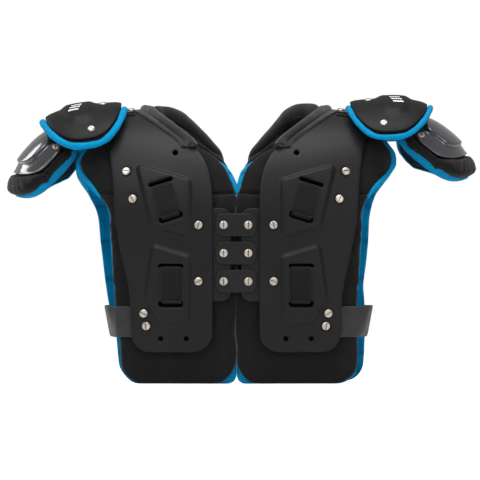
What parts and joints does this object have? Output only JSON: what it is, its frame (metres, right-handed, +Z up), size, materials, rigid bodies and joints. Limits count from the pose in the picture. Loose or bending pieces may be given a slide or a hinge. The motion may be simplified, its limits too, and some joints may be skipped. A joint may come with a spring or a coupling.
{
  "type": "american football shoulder pads",
  "caption": "Hinged shoulder pads: moulded arch shells over padded liners, with lifting epaulet flaps, shoulder cups, connector strips, side straps and a front lace.",
  "frame": {"origin": "middle of the bounding box's footprint, on the plane the liner feet rest on; the halves meet at x = -0.0074 m", "axes": "+Z up, +Y towards the wearer's chest, +X towards the wearer's right shoulder"},
  "size_m": [0.564, 0.26, 0.3544],
  "materials": {
    "shell_plastic": "moulded polyethylene, satin with a fine grain",
    "cap_plastic": "moulded polyethylene, semi-gloss",
    "strip_plastic": "flexible plastic, satin",
    "hook_plastic": "moulded, satin",
    "pad_fabric": "coated nylon outside with a blue mesh lining and binding",
    "roll_fabric": "stitched nylon binding",
    "webbing": "woven nylon webbing",
    "elastic": "ribbed woven elastic",
    "lace": "braided cord",
    "nickel": "nickel plated, satin"
  },
  "bodies": {
    "left_half": {"connector_strip_bottom": "strip_plastic", "connector_strip_middle": "strip_plastic", "connector_strip_top": "strip_plastic", "front_lace": "lace", "left_arch_shell": "shell_plastic", "left_back_pad": "pad_fabric", "left_back_tab": "shell_plastic", "left_connector_nuts": "nickel", "left_connector_screws": "nickel", "left_epaulet_hinge_strap": "webbing", "left_epaulet_mount": "shell_plastic", "left_epaulet_mount_nuts": "nickel", "left_epaulet_mount_screws": "nickel", "left_front_pad": "pad_fabric", "left_lace_eyelets": "nickel", "left_liner_straps": "webbing", "left_neck_roll": "roll_fabric", "left_shell_nuts": "nickel", "left_shell_screws": "nickel", "left_shoulder_pad": "pad_fabric", "left_side_strap": "elastic", "left_strap_hook": "hook_plastic"},
    "right_half": {"right_arch_shell": "shell_plastic", "right_back_pad": "pad_fabric", "right_back_tab": "shell_plastic", "right_connector_nuts": "nickel", "right_connector_screws": "nickel", "right_epaulet_hinge_strap": "webbing", "right_epaulet_mount": "shell_plastic", "right_epaulet_mount_nuts": "nickel", "right_epaulet_mount_screws": "nickel", "right_front_pad": "pad_fabric", "right_lace_eyelets": "nickel", "right_liner_straps": "webbing", "right_neck_roll": "roll_fabric", "right_shell_nuts": "nickel", "right_shell_screws": "nickel", "right_shoulder_pad": "pad_fabric", "right_side_strap": "elastic", "right_strap_hook": "hook_plastic"},
    "left_epaulet": {"left_cup_hinge_straps": "webbing", "left_epaulet_nuts": "nickel", "left_epaulet_pad": "pad_fabric", "left_epaulet_plate": "cap_plastic", "left_epaulet_screws": "nickel"},
    "right_epaulet": {"right_cup_hinge_straps": "webbing", "right_epaulet_nuts": "nickel", "right_epaulet_pad": "pad_fabric", "right_epaulet_plate": "cap_plastic", "right_epaulet_screws": "nickel"},
    "left_cup": {"left_cup_nuts": "nickel", "left_cup_pad": "pad_fabric", "left_cup_plate": "cap_plastic", "left_cup_screws": "nickel"},
    "right_cup": {"right_cup_nuts": "nickel", "right_cup_pad": "pad_fabric", "right_cup_plate": "cap_plastic", "right_cup_screws": "nickel"}
  },
  "joints": [
    {"name": "front_opening", "type": "hinge", "parent": "left_half", "child": "right_half", "pos_m": [-0.0074, -0.13356, 0.16], "axis": [0, 0, -1], "range_deg": [0, 18], "deforming": ["connector_strip_bottom", "connector_strip_middle", "connector_strip_top", "front_lace"]},
    {"name": "left_epaulet_lift", "type": "hinge", "parent": "left_half", "child": "left_epaulet", "pos_m": [-0.1404, -0.00056, 0.339], "axis": [0, 1, 0], "range_deg": [0, 60], "deforming": ["left_epaulet_hinge_strap"]},
    {"name": "right_epaulet_lift", "type": "hinge", "parent": "right_half", "child": "right_epaulet", "pos_m": [0.1256, -0.00056, 0.339], "axis": [0, -1, 0], "range_deg": [0, 60], "deforming": ["right_epaulet_hinge_strap"]},
    {"name": "left_cup_swing", "type": "hinge", "parent": "left_epaulet", "child": "left_cup", "pos_m": [-0.21114, -0.00056, 0.31261], "axis": [0, 1, 0], "range_deg": [-13, 6], "stiffness_Nm_per_rad": 3, "deforming": ["left_cup_hinge_straps"]},
    {"name": "right_cup_swing", "type": "hinge", "parent": "right_epaulet", "child": "right_cup", "pos_m": [0.1996, -0.00056, 0.324], "axis": [0, -1, 0], "range_deg": [-22, 6], "stiffness_Nm_per_rad": 3, "deforming": ["right_cup_hinge_straps"]}
  ]
}
